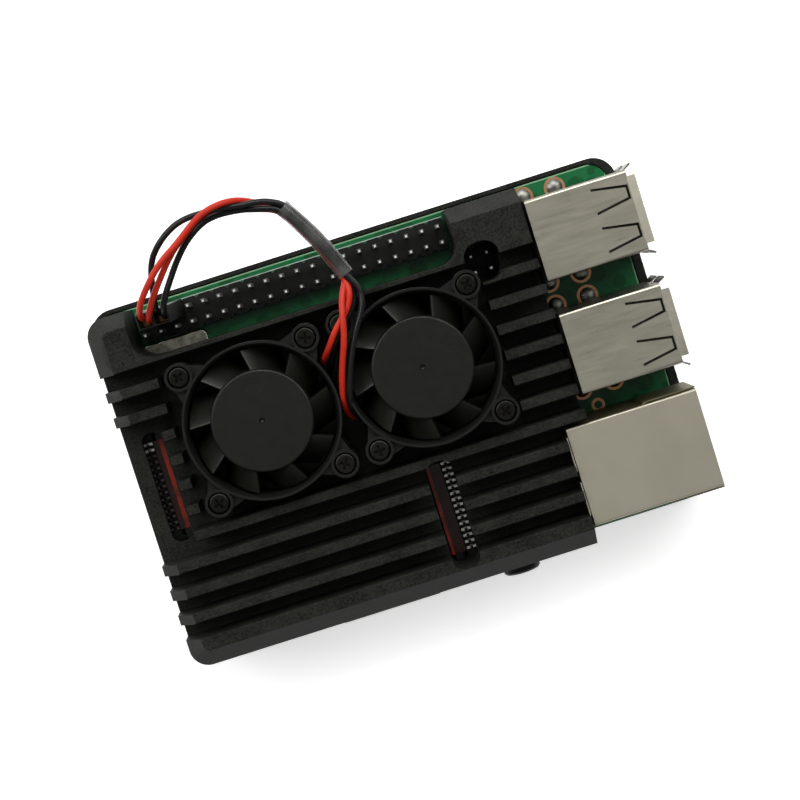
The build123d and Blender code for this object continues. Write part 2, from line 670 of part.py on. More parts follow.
def fan_frame(index):
    base, top = FAN_BASE, FAN_BASE + FAN_H
    ring = rod(0, 0, base, top, FAN_RING_R)
    bore = rod(0, 0, base + 1.0, top + 1, FAN_BORE_R)
    flare = Pos(0, 0, top - 0.35) * Cone(FAN_BORE_R, FAN_BORE_R + 0.35, 0.72)
    body = ring - bore - flare
    windows = rod(0, 0, base - 1, base + 1.5, FAN_BORE_R) - rod(0, 0, base - 1, base + 2, 7.4)
    for angle in (20, 140, 260):
        windows -= Rot(0, 0, angle) * block(6, 12, -0.9, 0.9, base - 1, base + 2)
    body -= windows
    body += rod(0, 0, base + 0.5, base + 7.1, 1.95)
    half = FAN_SCREW_PITCH / 2
    boss_cuts = []
    for k, (sx, sy) in enumerate(((1, 1), (-1, 1), (-1, -1), (1, -1))):
        web = fan_corner_web(45 + 90 * k)
        flat = upright(web, base, base + 1.8) + upright(web, top - 2.6, top - 0.9)
        boss = rod(sx * half, sy * half, base, top, FAN_BOSS_R)
        inside = rod(0, 0, base - 1, top + 1, FAN_RING_R - 0.2)
        body += (flat - inside) + (boss - inside)
        boss_cuts.append(rod(sx * half, sy * half, base - 1, top + 1, 1.15))
        boss_cuts.append(rod(sx * half, sy * half, top - 1.3, top + 1, 1.72))
    body -= boss_cuts
    body -= rod(0, 0, base + 1.0, base + 8, 1.55)
    cx, cy = FAN_XY[index]
    return Pos(cx, cy, 0) * body


def fan_bearing(index):
    cx, cy = FAN_XY[index]
    base = FAN_BASE
    return rod(cx, cy, base + 1.0, base + 7.2, 1.55) - rod(cx, cy, base, base + 8, 0.56)


def fan_shaft(index):
    cx, cy = FAN_XY[index]
    return rod(cx, cy, FAN_BASE + 1.3, FAN_BASE + 9.1, 0.5)


def fan_magnet(index):
    cx, cy = FAN_XY[index]
    base = FAN_BASE
    return rod(cx, cy, base + 2.2, base + 7.6, HUB_R - 0.5) - rod(cx, cy, base, base + 9, HUB_R - 1.5)


def fan_stator(index):
    """Four wound poles round the bearing tube."""
    base = FAN_BASE
    core = rod(0, 0, base + 2.6, base + 6.4, 3.0)
    for k in range(4):
        arm = block(2.0, 5.2, -0.7, 0.7, base + 3.4, base + 5.6)
        coil = slab(3.2, 4.6, -1.6, 1.6, base + 2.6, base + 6.4, 0.5)
        shoe = rod(0, 0, base + 3.2, base + 5.8, 5.9) - rod(0, 0, base, base + 9, 5.0)
        shoe &= block(3.5, 7, -3.2, 3.2, base, base + 9)
        core += Rot(0, 0, 90 * k) * (arm + coil + shoe)
    core -= rod(0, 0, base, base + 9, 1.96)
    cx, cy = FAN_XY[index]
    return Pos(cx, cy, 0) * core


def fan_screws():
    """Eight screws that hold the two fans, with their heads sunk in the corner bosses."""
    screws = []
    half = FAN_SCREW_PITCH / 2
    top = FAN_BASE + FAN_H
    for cx, cy in FAN_XY:
        for sx in (-half, half):
            for sy in (-half, half):
                x, y = cx + sx, cy + sy
                head = rod(x, y, top - 1.3, top - 0.1, 1.6)
                head = fillet(head.edges().group_by(Axis.Z)[-1], 0.35)
                shank = rod(x, y, 5.2, top - 1.2, 0.95)
                cross = block(x - 0.85, x + 0.85, y - 0.2, y + 0.2, top - 0.9, top + 1)
                cross += block(x - 0.2, x + 0.2, y - 0.85, y + 0.85, top - 0.9, top + 1)
                turn = 25 + 17 * len(screws)
                cross = Pos(x, y, 0) * Rot(0, 0, turn) * Pos(-x, -y, 0) * cross
                screws.append(head + shank - cross)
    return screws


# ---------------------------------------------------------------- fan leads
def in_sleeve(angle):
    """A lead's points inside the sleeve, where the four leads twist slowly round each other."""
    points = []
    for i, (x, y, z) in enumerate(SLEEVE_PATH):
        turn = math.radians(angle + i * BUNDLE_TWIST)
        side = BUNDLE_R * math.cos(turn)
        points.append((x + side * SLEEVE_SIDE[0], y + side * SLEEVE_SIDE[1], z + BUNDLE_R * math.sin(turn)))
    return points


# Each lead runs from its crimp in the connector, over the header in a loop, through the sleeve and down
# between the two fans, where it meets the wall of its own fan's ring.
LEAD_ROUTES = {
    "red_lead_1": [
        (10.5, 53.1, 13.8), (10.4, 53.1, 17.4), (12.0, 55.6, 20.0), (14.4, 58.5, 21.1),
        (17.4, 61.8, 21.7), (19.8, 63.5, 21.8), (22.1, 65.2, 21.0), (24.3, 65.8, 20.4),
        (26.6, 65.5, 19.8), (28.8, 64.9, 19.7), (31.0, 64.3, 19.9), *in_sleeve(180),
        (40.9, 48.5, 19.5), (39.7, 46.0, 19.4), (37.0, 43.6, 19.5), (35.1, 41.1, 18.4),
        (33.8, 39.6, 15.3), (33.4, 39.1, 12.6),
    ],
    "red_lead_2": [
        (9.8, 53.8, 13.8), (9.6, 53.8, 17.4), (10.1, 55.4, 20.6), (12.3, 58.0, 22.2),
        (15.3, 60.8, 22.9), (18.9, 62.9, 23.2), (22.0, 65.1, 23.4), (24.5, 66.2, 23.3),
        (27.1, 66.5, 22.8), (29.0, 66.3, 21.5), (30.9, 65.5, 20.2), (32.6, 64.5, 19.4),
        *in_sleeve(270), (39.3, 47.9, 19.6), (38.6, 45.0, 20.5), (37.9, 42.0, 20.2),
        (36.5, 38.6, 19.2), (35.4, 35.4, 18.2), (34.8, 32.6, 16.6), (34.9, 31.0, 14.4),
        (35.2, 30.0, 12.3), (36.0, 29.5, 11.0), (37.0, 29.4, 10.7),
    ],
    "black_lead_1": [
        (12.3, 53.9, 13.8), (12.1, 53.9, 17.6), (12.6, 56.4, 19.2), (13.7, 61.2, 20.0),
        (15.8, 63.6, 21.0), (18.6, 65.4, 21.6), (21.1, 66.0, 22.0), (23.5, 66.0, 22.1),
        (25.7, 65.9, 22.0), (27.8, 65.6, 21.8), (29.5, 65.3, 21.9), (31.4, 65.2, 21.7),
        (33.2, 64.8, 21.3), *in_sleeve(0), (41.5, 48.5, 18.2), (40.6, 46.0, 18.35),
        (38.0, 43.7, 18.4), (36.2, 41.6, 17.9), (35.1, 39.4, 15.6), (34.3, 37.9, 13.3),
        (33.9, 37.3, 11.2),
    ],
    "black_lead_2": [
        (13.0, 53.2, 13.9), (12.9, 53.1, 17.4), (13.9, 55.4, 20.0), (16.6, 59.1, 20.4),
        (18.1, 60.9, 20.7), (20.1, 62.9, 20.9), (22.8, 64.6, 21.0), (25.1, 65.1, 20.9),
        (27.5, 65.0, 20.8), (30.0, 64.6, 20.9), (32.5, 63.9, 21.2), *in_sleeve(90),
        (42.5, 48.3, 19.0), (41.9, 45.5, 19.4), (40.0, 42.8, 19.4), (38.3, 39.6, 19.1),
        (37.0, 36.4, 18.7), (36.0, 33.4, 18.3), (35.7, 31.3, 16.3), (36.1, 29.9, 14.2),
        (36.5, 29.3, 12.6),
    ],
}


def smooth_path(name, points):
    """Straight runs joined by arcs that use most of the shorter run at each corner."""
    vectors = [Vector(*point) for point in points]
    radii = []
    for before, here, after in zip(vectors, vectors[1:], vectors[2:]):
        run = min((here - before).length, (after - here).length)
        turn = math.radians((here - before).get_angle(after - here))
        radii.append(round(0.45 * run / math.tan(turn / 2), 2))
    print(name, "radii", radii)
    return FilletPolyline(*vectors, radius=radii)


def tube(path, radius):
    return sweep(Plane(origin=path @ 0, z_dir=path % 0) * Circle(radius), path)


def lead(name):
    path = smooth_path(name, LEAD_ROUTES[name])
    solid = tube(path, LEAD_R)
    print(name, "length", round(path.length, 1), "volume ratio",
          round(solid.volume / (path.length * math.pi * LEAD_R ** 2), 4))
    return solid


def lead_sleeve():
    path = smooth_path("lead_sleeve", SLEEVE_PATH)
    return tube(path, SLEEVE_R) - tube(path, SLEEVE_BORE_R)


def leaning(shape):
    """Stands a shape of the connector on the header pins, with the connector's lean."""
    return Pos(*PLUG_FOOT) * Rot(PLUG_LEAN[0], PLUG_LEAN[1], 0) * shape


def plug_housing():
    body = block(-2.54, 2.54, -1.27, 1.27, 0, PLUG_H)
    body = chamfer(body.edges().group_by(Axis.Z)[-1], 0.12)
    cutters = []
    for x in (-1.27, 1.27):
        cutters.append(block(x - 0.97, x + 0.97, -0.97, 0.97, -1, PLUG_H + 1))
        cutters.append(block(x - 0.6, x + 0.6, -2, 0, 5.2, 7.2))
    return leaning(body - cutters)


def plug_crimps():
    crimps = []
    for x in (-1.27, 1.27):
        socket = block(x - 0.9, x + 0.9, -0.9, 0.9, 0.5, CRIMP_TOP)
        socket -= block(x - 0.65, x + 0.65, -0.65, 0.65, -1, 7.4)
        socket -= block(x - 1, x + 1, -0.65, 1, 8.3, 8.9)
        crimps.append(leaning(socket))
    return crimps


# ---------------------------------------------------------------- write the pieces
save("lower_heatsink", lower_heatsink())
save("upper_heatsink", upper_heatsink())
save("case_screws", *case_screws())

save("circuit_board", circuit_board())
header_x = (HEADER_X0 - PIN_PITCH / 2, HEADER_X0 + (HEADER_COLUMNS - 0.5) * PIN_PITCH)
save("gpio_header_base", header_base(pin_places(), *header_x, 49.96, 55.04))
save("gpio_header_pins", *[pin(x, y) for x, y in pin_places()])
save("power_header_base", header_base(POWER_HEADER_XY, 58.88, 63.96, 43.9, 48.98))
save("power_header_pins", *[pin(x, y) for x, y in POWER_HEADER_XY])
save("main_processor", main_processor())
save("network_chip", chip(57.5, 33.0, 12.0, 12.0, 0, 1.3))
save("memory_chip", chip(25.4, 33.0, 14.0, 14.0, -BOARD_T - 1.1, -BOARD_T))
save("thermal_pads", *thermal_pads())
save("radio_shield", radio_shield())
save("surface_parts", *surface_parts())
save("status_lights", *status_lights())
save("card_socket", card_socket())
save("copper_rings", *copper_rings())
save("solder_joints", *solder_joints())

for number, cy in enumerate(USB_Y, 1):
    save(f"usb_shell_{number}", usb_shell(cy))
    save(f"usb_insert_{number}", usb_insert(cy))
    save(f"usb_contacts_{number}", *usb_contacts(cy))

save("network_shield", network_shield())
save("network_insert", network_insert())
save("network_contacts", *network_contacts())
save("network_lamps", *network_lamps())

save("video_shell", video_shell())
save("video_insert", video_insert())
save("power_shell", power_shell())
save("power_insert", power_insert())
save("audio_jack", audio_jack())
save("audio_contacts", *audio_contacts())

for name, x, y, side in (("camera", CAMERA_X, CAMERA_Y, 1), ("display", DISPLAY_X, DISPLAY_Y, -1)):
    save(f"{name}_connector", cable_housing(x, y, side))
    save(f"{name}_contacts", *cable_contacts(x, y, side))
    save(f"{name}_latch", cable_latch(x, y, side))
    save(f"{name}_film", cable_film(x, y, side))

for index in range(2):
    save(f"fan_frame_{index + 1}", fan_frame(index))
    save(f"fan_rotor_{index + 1}", fan_rotor(index))
    save(f"fan_shaft_{index + 1}", fan_shaft(index))
    save(f"fan_magnet_{index + 1}", fan_magnet(index))
save("fan_bearings", *[fan_bearing(i) for i in range(2)])
save("fan_stators", *[fan_stator(i) for i in range(2)])
save("fan_screws", *fan_screws())

for name in LEAD_ROUTES:
    save(name, lead(name))
save("lead_sleeve", lead_sleeve())
save("plug_housing", plug_housing())
save("plug_crimps", *plug_crimps())
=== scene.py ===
import json
import math

import bmesh
import bpy
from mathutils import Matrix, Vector


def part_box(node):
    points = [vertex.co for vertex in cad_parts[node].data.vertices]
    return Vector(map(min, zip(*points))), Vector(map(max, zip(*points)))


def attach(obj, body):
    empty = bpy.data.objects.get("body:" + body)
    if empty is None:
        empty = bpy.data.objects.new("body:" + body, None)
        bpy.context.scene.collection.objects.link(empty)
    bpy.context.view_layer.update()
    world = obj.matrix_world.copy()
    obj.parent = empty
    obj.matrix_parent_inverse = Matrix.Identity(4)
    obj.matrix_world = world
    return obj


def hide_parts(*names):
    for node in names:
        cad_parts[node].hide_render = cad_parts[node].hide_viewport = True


# Looks for a single board computer in a black heatsink case with two fans. Everything is in metres, in the
# CAD's frame. Positions on the board are written from the board's own corner and moved by BOARD. Materials
# measure in millimetres from that corner.

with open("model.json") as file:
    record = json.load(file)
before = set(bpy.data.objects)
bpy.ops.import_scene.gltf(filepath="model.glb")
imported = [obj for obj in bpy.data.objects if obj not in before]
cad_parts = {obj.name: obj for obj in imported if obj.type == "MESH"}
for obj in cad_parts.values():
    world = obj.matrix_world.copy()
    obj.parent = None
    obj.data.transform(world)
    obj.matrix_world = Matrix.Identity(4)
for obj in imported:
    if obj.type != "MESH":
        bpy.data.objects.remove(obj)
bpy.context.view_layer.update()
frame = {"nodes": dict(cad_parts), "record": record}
NODES = frame["nodes"]
BOARD = Vector((-0.04315, -0.0272, 0.008))
MM = 0.001


def on_board(x, y, z):
    """A point given in millimetres from the board's corner, in the part's frame."""
    return BOARD + Vector((x, y, z)) * MM


# ---------------------------------------------------------------- camera
CAMERA_LENS = 86.78
CAMERA_SENSOR = 36.0
CAMERA_PLACE = (0.000801, 0.02488, 0.31589)
CAMERA_TURN = (-4.107, -1.108, -17.508)

camera = bpy.data.objects.new("camera", bpy.data.cameras.new("camera"))
bpy.context.scene.collection.objects.link(camera)
camera.data.sensor_width = CAMERA_SENSOR
camera.data.lens = CAMERA_LENS
camera.data.clip_start = 0.01
camera.data.clip_end = 20.0
camera.location = CAMERA_PLACE
camera.rotation_euler = [math.radians(angle) for angle in CAMERA_TURN]
bpy.context.scene.camera = camera

# ---------------------------------------------------------------- fan leads
LEAD_DIAMETER = 0.00096
SLEEVE_PATH = [
    (0.0349, 0.0634, 0.0203), (0.0370, 0.0600, 0.0197), (0.0389, 0.0564, 0.0191), (0.0410, 0.0511, 0.0186),
]
SLEEVE_SIDE = (0.896, 0.444)  # level direction across the sleeve
BUNDLE_RADIUS = 0.00069
BUNDLE_TWIST = -6.0           # degrees from one point of the sleeve's path to the next


def in_sleeve(angle):
    """A lead's points inside the sleeve, where the four leads twist slowly round each other."""
    points = []
    for i, (x, y, z) in enumerate(SLEEVE_PATH):
        turn = math.radians(angle + i * BUNDLE_TWIST)
        side = BUNDLE_RADIUS * math.cos(turn)
        rise = BUNDLE_RADIUS * math.sin(turn)
        points.append((x + side * SLEEVE_SIDE[0], y + side * SLEEVE_SIDE[1], z + rise))
    return points


# The routes of the CAD's leads from the plug's crimps to the fans' rings, from the board's corner. Inside the
# sleeve the two red leads are turned to lie below the black ones.
LEAD_ROUTES = {
    "red_lead_1": [
        (0.0105, 0.0531, 0.0138), (0.0104, 0.0531, 0.0174), (0.012, 0.0556, 0.02),
        (0.0144, 0.0585, 0.0211), (0.0174, 0.0618, 0.0217), (0.0198, 0.0635, 0.0218),
        (0.0221, 0.0652, 0.021), (0.0243, 0.0658, 0.0204), (0.0266, 0.0655, 0.0198),
        (0.0288, 0.0649, 0.0197), (0.031, 0.0643, 0.0199), *in_sleeve(222), (0.0409, 0.0485, 0.0195),
        (0.0397, 0.046, 0.0194), (0.037, 0.0436, 0.0195), (0.0351, 0.0411, 0.0184),
        (0.0338, 0.0396, 0.0153), (0.0334, 0.0391, 0.0126),
    ],
    "red_lead_2": [
        (0.0098, 0.0538, 0.0138), (0.0096, 0.0538, 0.0174), (0.0101, 0.0554, 0.0206),
        (0.0123, 0.058, 0.0222), (0.0153, 0.0608, 0.0229), (0.0189, 0.0629, 0.0232),
        (0.022, 0.0651, 0.0234), (0.0245, 0.0662, 0.0233), (0.0271, 0.0665, 0.0228),
        (0.029, 0.0663, 0.0215), (0.0309, 0.0655, 0.0202), (0.0326, 0.0645, 0.0194), *in_sleeve(305),
        (0.0393, 0.0479, 0.0196), (0.0386, 0.045, 0.0205), (0.0379, 0.042, 0.0202),
        (0.0365, 0.0386, 0.0192), (0.0354, 0.0354, 0.0182), (0.0348, 0.0326, 0.0166),
        (0.0349, 0.031, 0.0144), (0.0352, 0.03, 0.0123), (0.036, 0.0295, 0.011),
        (0.037, 0.0294, 0.0107),
    ],
    "black_lead_1": [
        (0.0123, 0.0539, 0.0138), (0.0121, 0.0539, 0.0176), (0.0126, 0.0564, 0.0192),
        (0.0137, 0.0612, 0.02), (0.0158, 0.0636, 0.021), (0.0186, 0.0654, 0.0216),
        (0.0211, 0.066, 0.022), (0.0235, 0.066, 0.0221), (0.0257, 0.0659, 0.022),
        (0.0278, 0.0656, 0.0218), (0.0295, 0.0653, 0.0219), (0.0314, 0.0652, 0.0217),
        (0.0332, 0.0648, 0.0213), *in_sleeve(30), (0.0415, 0.0485, 0.0182), (0.0406, 0.046, 0.01835),
        (0.038, 0.0437, 0.0184), (0.0362, 0.0416, 0.0179), (0.0351, 0.0394, 0.0156),
        (0.0343, 0.0379, 0.0133), (0.0339, 0.0373, 0.0112),
    ],
    "black_lead_2": [
        (0.013, 0.0532, 0.0139), (0.0129, 0.0531, 0.0174), (0.0139, 0.0554, 0.02),
        (0.0166, 0.0591, 0.0204), (0.0181, 0.0609, 0.0207), (0.0201, 0.0629, 0.0209),
        (0.0228, 0.0646, 0.021), (0.0251, 0.0651, 0.0209), (0.0275, 0.065, 0.0208),
        (0.03, 0.0646, 0.0209), (0.0325, 0.0639, 0.0212), *in_sleeve(125), (0.0425, 0.0483, 0.019),
        (0.0419, 0.0455, 0.0194), (0.04, 0.0428, 0.0194), (0.0383, 0.0396, 0.0191),
        (0.037, 0.0364, 0.0187), (0.036, 0.0334, 0.0183), (0.0357, 0.0313, 0.0163),
        (0.0361, 0.0299, 0.0142), (0.0365, 0.0293, 0.0126),
    ],
}
# One lead carries the plug and sleeve, because a piece rides on one cord only.
# A point's radius adds to the curve's box, so it is small and the bevel is larger by as much.
POINT_RADIUS = MM


def wire_slot(lead):
    return "wire_red" if lead.startswith("red") else "wire_black"


def lead_curve(name, points):
    """A lead as a round NURBS curve with the route's points as its control points."""
    data = bpy.data.curves.new(name + "_wire", "CURVE")
    data.dimensions = "3D"
    data.resolution_u = 12
    data.bevel_depth = LEAD_DIAMETER / 2 / POINT_RADIUS
    data.bevel_resolution = 6
    data.use_fill_caps = True
    spline = data.splines.new("NURBS")
    spline.points.add(len(points) - 1)
    for control, point in zip(spline.points, points):
        control.co = (*(BOARD + Vector(point)), 1.0)
        control.radius = POINT_RADIUS
    spline.order_u = 3
    spline.use_endpoint_u = True
    curve = bpy.data.objects.new(name + "_wire", data)
    bpy.context.scene.collection.objects.link(curve)
    return curve


LEADS = {}
for name, route in LEAD_ROUTES.items():
    LEADS[name] = lead_curve(name, route[::-1])
    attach(LEADS[name], "computer")
    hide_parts(name)


# ---------------------------------------------------------------- node material toolkit
class Paint:
    """Builds one procedural material, node by node."""

    def __init__(self, name):
        self.mat = bpy.data.materials.new(name)
        self.mat.use_nodes = True
        self.tree = self.mat.node_tree
        self.shader = self.tree.nodes["Principled BSDF"]
        self.coords = self.tree.nodes.new("ShaderNodeTexCoord").outputs["Object"]

    def set(self, **values):
        for key, value in values.items():
            socket = self.shader.inputs[key.replace("_", " ")]
            socket.default_value = (*value, 1.0) if isinstance(value, tuple) else value
        return self

    def link(self, output, node_input):
        self.tree.links.new(output, node_input)

    def node(self, kind, **settings):
        made = self.tree.nodes.new(kind)
        for key, value in settings.items():
            setattr(made, key, value)
        return made

    def stretched(self, scale):
        """Object coordinates multiplied by a scale for each axis."""
        mapping = self.node("ShaderNodeMapping")
        mapping.inputs["Scale"].default_value = scale
        self.link(self.coords, mapping.inputs["Vector"])
        return mapping.outputs["Vector"]

    def noise(self, per_mm, detail=3.0, rough=0.5, stretch=(1, 1, 1), distortion=0.0):
        """Noise with per_mm features to the millimetre, from 0 to 1."""
        made = self.node("ShaderNodeTexNoise")
        made.inputs["Scale"].default_value = per_mm * 1000.0
        made.inputs["Detail"].default_value = detail
        made.inputs["Roughness"].default_value = rough
        made.inputs["Distortion"].default_value = distortion
        self.link(self.stretched(stretch), made.inputs["Vector"])
        return made.outputs["Fac"]

    def cells(self, per_mm, feature="F1", stretch=(1, 1, 1)):
        made = self.node("ShaderNodeTexVoronoi", feature=feature)
        made.inputs["Scale"].default_value = per_mm * 1000.0
        self.link(self.stretched(stretch), made.inputs["Vector"])
        return made.outputs["Distance"]

    def ramp(self, value, *stops):
        """A colour or grey ramp from (position, colour) stops."""
        made = self.node("ShaderNodeValToRGB")
        elements = made.color_ramp.elements
        while len(elements) < len(stops):
            elements.new(0.5)
        for element, (position, colour) in zip(elements, stops):
            if not isinstance(colour, tuple):
                colour = (colour,) * 3
            element.position = position
            element.color = (*colour, 1.0)
        self.link(value, made.inputs["Fac"])
        return made.outputs["Color"]

    def remap(self, value, low, high, from_low=0.3, from_high=0.7):
        made = self.node("ShaderNodeMapRange")
        made.inputs["From Min"].default_value = from_low
        made.inputs["From Max"].default_value = from_high
        made.inputs["To Min"].default_value = low
        made.inputs["To Max"].default_value = high
        self.link(value, made.inputs["Value"])
        return made.outputs["Result"]

    def math(self, operation, a, b=None):
        made = self.node("ShaderNodeMath", operation=operation)
        for i, value in enumerate((a, b)):
            if value is None:
                continue
            if isinstance(value, (int, float)):
                made.inputs[i].default_value = value
            else:
                self.link(value, made.inputs[i])
        return made.outputs["Value"]

    def axis(self, name):
        """One object coordinate in millimetres from the board's corner."""
        split = self.node("ShaderNodeSeparateXYZ")
        self.link(self.coords, split.inputs["Vector"])
        offset = {"X": -BOARD.x, "Y": -BOARD.y, "Z": -BOARD.z}[name]
        moved = self.math("ADD", split.outputs[name], offset)
        return self.math("MULTIPLY", moved, 1000.0)

    def facing(self, name):
        """The surface normal's part along one axis, in the object's own frame."""
        split = self.node("ShaderNodeSeparateXYZ")
        texture = self.node("ShaderNodeTexCoord")
        self.link(texture.outputs["Normal"], split.inputs["Vector"])
        return split.outputs[name]

    def mix(self, factor, first, second):
        """Blends two colours: each is an output or a colour."""
        made = self.node("ShaderNodeMix", data_type="RGBA")
        if isinstance(factor, (int, float)):
            made.inputs[0].default_value = factor
        else:
            self.link(factor, made.inputs[0])
        for index, value in ((6, first), (7, second)):
            if isinstance(value, tuple):
                made.inputs[index].default_value = (*value, 1.0)
            else:
                self.link(value, made.inputs[index])
        return made.outputs[2]

    def bump(self, height, strength, distance_mm, below=None):
        made = self.node("ShaderNodeBump")
        made.inputs["Strength"].default_value = strength
        made.inputs["Distance"].default_value = distance_mm * MM
        self.link(height, made.inputs["Height"])
        if below is not None:
            self.link(below, made.inputs["Normal"])
        return made.outputs["Normal"]

    def colour(self, output):
        self.link(output, self.shader.inputs["Base Color"])
        return self

    def roughness(self, output):
        self.link(output, self.shader.inputs["Roughness"])
        return self

    def normal(self, output):
        self.link(output, self.shader.inputs["Normal"])
        return self


def grain(name, dark, light, per_mm, rough=(0.4, 0.5), bump=0.2, depth=0.02, **fixed):
    """Moulded or blasted surface: small colour change, roughness change and a fine bump."""
    p = Paint(name).set(**fixed)
    broad = p.noise(per_mm * 0.08, 2.0)
    fine = p.noise(per_mm, 4.0, 0.6)
    both = p.math("ADD", p.math("MULTIPLY", broad, 0.45), p.math("MULTIPLY", fine, 0.55))
    p.colour(p.ramp(both, (0.3, dark), (0.7, light)))
    p.roughness(p.remap(fine, *rough))
    p.normal(p.bump(fine, bump, depth))
    return p


# ---------------------------------------------------------------- materials
# Places on the board, in millimetres from its corner.
BOARD_LENGTH, BOARD_WIDTH = 85.0, 56.0
BARE_EDGE = 0.2
LEGEND_Y, LEGEND_X, LEGEND_HALF_WIDTH = 55.1, (7.0, 58.0), 0.07
USB_SIDE_X, USB_TOP_WALL_Z = 60.0, 15.42
NETWORK_TOP_Z = 13.2
# the films' red edges are their own amber colour with painted light on it
FILM_EDGES = ((43.75, 0.32), (5.25, 0.42))  # the red edge of the camera's and the display's film: X, half width
FILMED_CONTACTS = (8.0, 33.5)               # the display's contacts under the film: X and Y below these
WEAVE_TURN = 9.0                            # radians to the millimetre


def anodised():
    """Bead-blasted black anodising with a fine grain. The front wall and its chamfer carry painted shade: they are
    set darker.
    """
    p = Paint("anodised_black").set(Specular_IOR_Level=0.12)
    blast = p.noise(2.6, 5.0, 0.8)
    pits = p.cells(7.0)
    cloud = p.noise(0.25, 3.0, 0.5)
    base = p.ramp(p.math("ADD", p.math("MULTIPLY", blast, 0.8), p.math("MULTIPLY", cloud, 0.2)),
                  (0.40, (0.0040, 0.0042, 0.0034)), (0.60, (0.0250, 0.0254, 0.0208)))
    # painted shade: faces turned towards -Y, the front wall and its chamfer, are set darker
    front = p.math("LESS_THAN", p.facing("Y"), -0.35)
    p.colour(p.mix(p.math("MULTIPLY", front, 0.7), base, (0.0030, 0.0031, 0.0026)))
    p.roughness(p.remap(blast, 0.44, 0.60))
    p.normal(p.bump(pits, 0.4, 0.012, p.bump(blast, 0.6, 0.02)))
    return p.mat


def board():
    """Green solder mask over copper tracks, with a pale bare edge and white legend lines."""
    p = Paint("board_green").set(Specular_IOR_Level=0.3)
    x, y = p.axis("X"), p.axis("Y")
    up = p.facing("Z")
    cloud = p.noise(0.35, 2.0)
    weave = p.math("ADD", p.math("SINE", p.math("MULTIPLY", x, WEAVE_TURN)),
                   p.math("SINE", p.math("MULTIPLY", y, WEAVE_TURN)))
    mask = p.ramp(cloud, (0.3, (0.0020, 0.062, 0.014)), (0.7, (0.0045, 0.092, 0.026)))
    # copper under the mask looks a little lighter
    tracks = p.cells(0.30, "F1", (1, 1, 0.01))
    track_mask = p.ramp(tracks, (0.45, 0.0), (0.5, 1.0))
    green = p.mix(track_mask, mask, (0.006, 0.120, 0.038))
    # the legend line that runs beside the pin header
    beside = p.math("ABSOLUTE", p.math("SUBTRACT", y, LEGEND_Y))
    start, end = LEGEND_X
    along = p.math("MULTIPLY", p.math("GREATER_THAN", x, start), p.math("LESS_THAN", x, end))
    legend = p.math("MULTIPLY", p.math("LESS_THAN", beside, LEGEND_HALF_WIDTH), along)
    green = p.mix(legend, green, (0.45, 0.50, 0.45))
    # distance in from the nearest edge of the board
    from_x = p.math("MINIMUM", x, p.math("SUBTRACT", BOARD_LENGTH, x))
    from_y = p.math("MINIMUM", y, p.math("SUBTRACT", BOARD_WIDTH, y))
    inside = p.math("MINIMUM", from_x, from_y)
    bare = p.math("LESS_THAN", inside, BARE_EDGE)
    laminate = p.ramp(p.noise(3.0, 3.0), (0.3, (0.16, 0.34, 0.18)), (0.7, (0.26, 0.46, 0.27)))
    top = p.mix(bare, green, laminate)
    side = p.math("LESS_THAN", p.math("ABSOLUTE", up), 0.5)
    p.colour(p.mix(side, top, (0.07, 0.12, 0.05)))
    p.roughness(p.remap(cloud, 0.26, 0.38))
    p.normal(p.bump(track_mask, 0.25, 0.02, p.bump(weave, 0.05, 0.01)))
    return p.mat


def header_plastic():
    return grain("header_black", (0.005, 0.005, 0.0045), (0.010, 0.010, 0.009), 5.0, (0.4, 0.55), 0.25, 0.012,
                 Specular_IOR_Level=0.2).mat


def black_plastic(name, level=1.0, rough=(0.35, 0.5)):
    dark = tuple(0.006 * level * c for c in (1.0, 1.0, 0.9))
    light = tuple(0.011 * level * c for c in (1.0, 1.0, 0.9))
    return grain(name, dark, light, 6.0, rough, 0.2, 0.01, Specular_IOR_Level=0.2).mat


def bright_metal(name, dark, light, rough=(0.16, 0.3), per_mm=4.0, stretch=(1, 1, 1), bump=0.1):
    p = Paint(name).set(Metallic=1.0)
    fine = p.noise(per_mm, 4.0, 0.6, stretch)
    broad = p.noise(per_mm * 0.06, 2.0)
    mixed = p.math("ADD", p.math("MULTIPLY", broad, 0.6), p.math("MULTIPLY", fine, 0.4))
    p.colour(p.ramp(mixed, (0.3, dark), (0.7, light)))
    p.roughness(p.remap(fine, *rough))
    p.normal(p.bump(fine, bump, 0.006))
    return p.mat


def shell_steel():
    """Tinned pressed steel with faint handling marks along the length, and painted shade inside the USB shells."""
    p = Paint("shield_steel").set(Metallic=1.0)
    streak = p.noise(1.6, 3.0, 0.6, (0.12, 1.0, 1.0))
    cloud = p.noise(0.16, 3.0, 0.55)
    speck = p.noise(6.0, 2.0, 0.7)
    tone = p.math("ADD", p.math("MULTIPLY", cloud, 0.6), p.math("MULTIPLY", streak, 0.4))
    steel = p.ramp(tone, (0.3, (0.48, 0.455, 0.37)), (0.7, (0.56, 0.535, 0.44)))
    # painted shade: the USB shells are set darker below their top wall, where their inside lies in shade
    deep = p.math("LESS_THAN", p.axis("Z"), USB_TOP_WALL_Z)
    folded = p.math("GREATER_THAN", p.axis("X"), USB_SIDE_X)
    shade = p.math("MULTIPLY", p.math("MULTIPLY", deep, folded), 0.75)
    # the radio's lid is stained all over
    stain = p.ramp(p.noise(0.8, 3.0, 0.55), (0.38, 0.15), (0.62, 0.7))
    lid = p.math("MULTIPLY", p.math("SUBTRACT", 1.0, folded), stain)
    p.colour(p.mix(shade, p.mix(lid, steel, (0.09, 0.10, 0.08)), (0.10, 0.10, 0.085)))
    p.roughness(p.remap(p.math("ADD", p.math("MULTIPLY", streak, 0.5), p.math("MULTIPLY", speck, 0.5)), 0.26, 0.40))
    p.normal(p.bump(speck, 0.06, 0.004, p.bump(cloud, 0.05, 0.02)))
    return p.mat


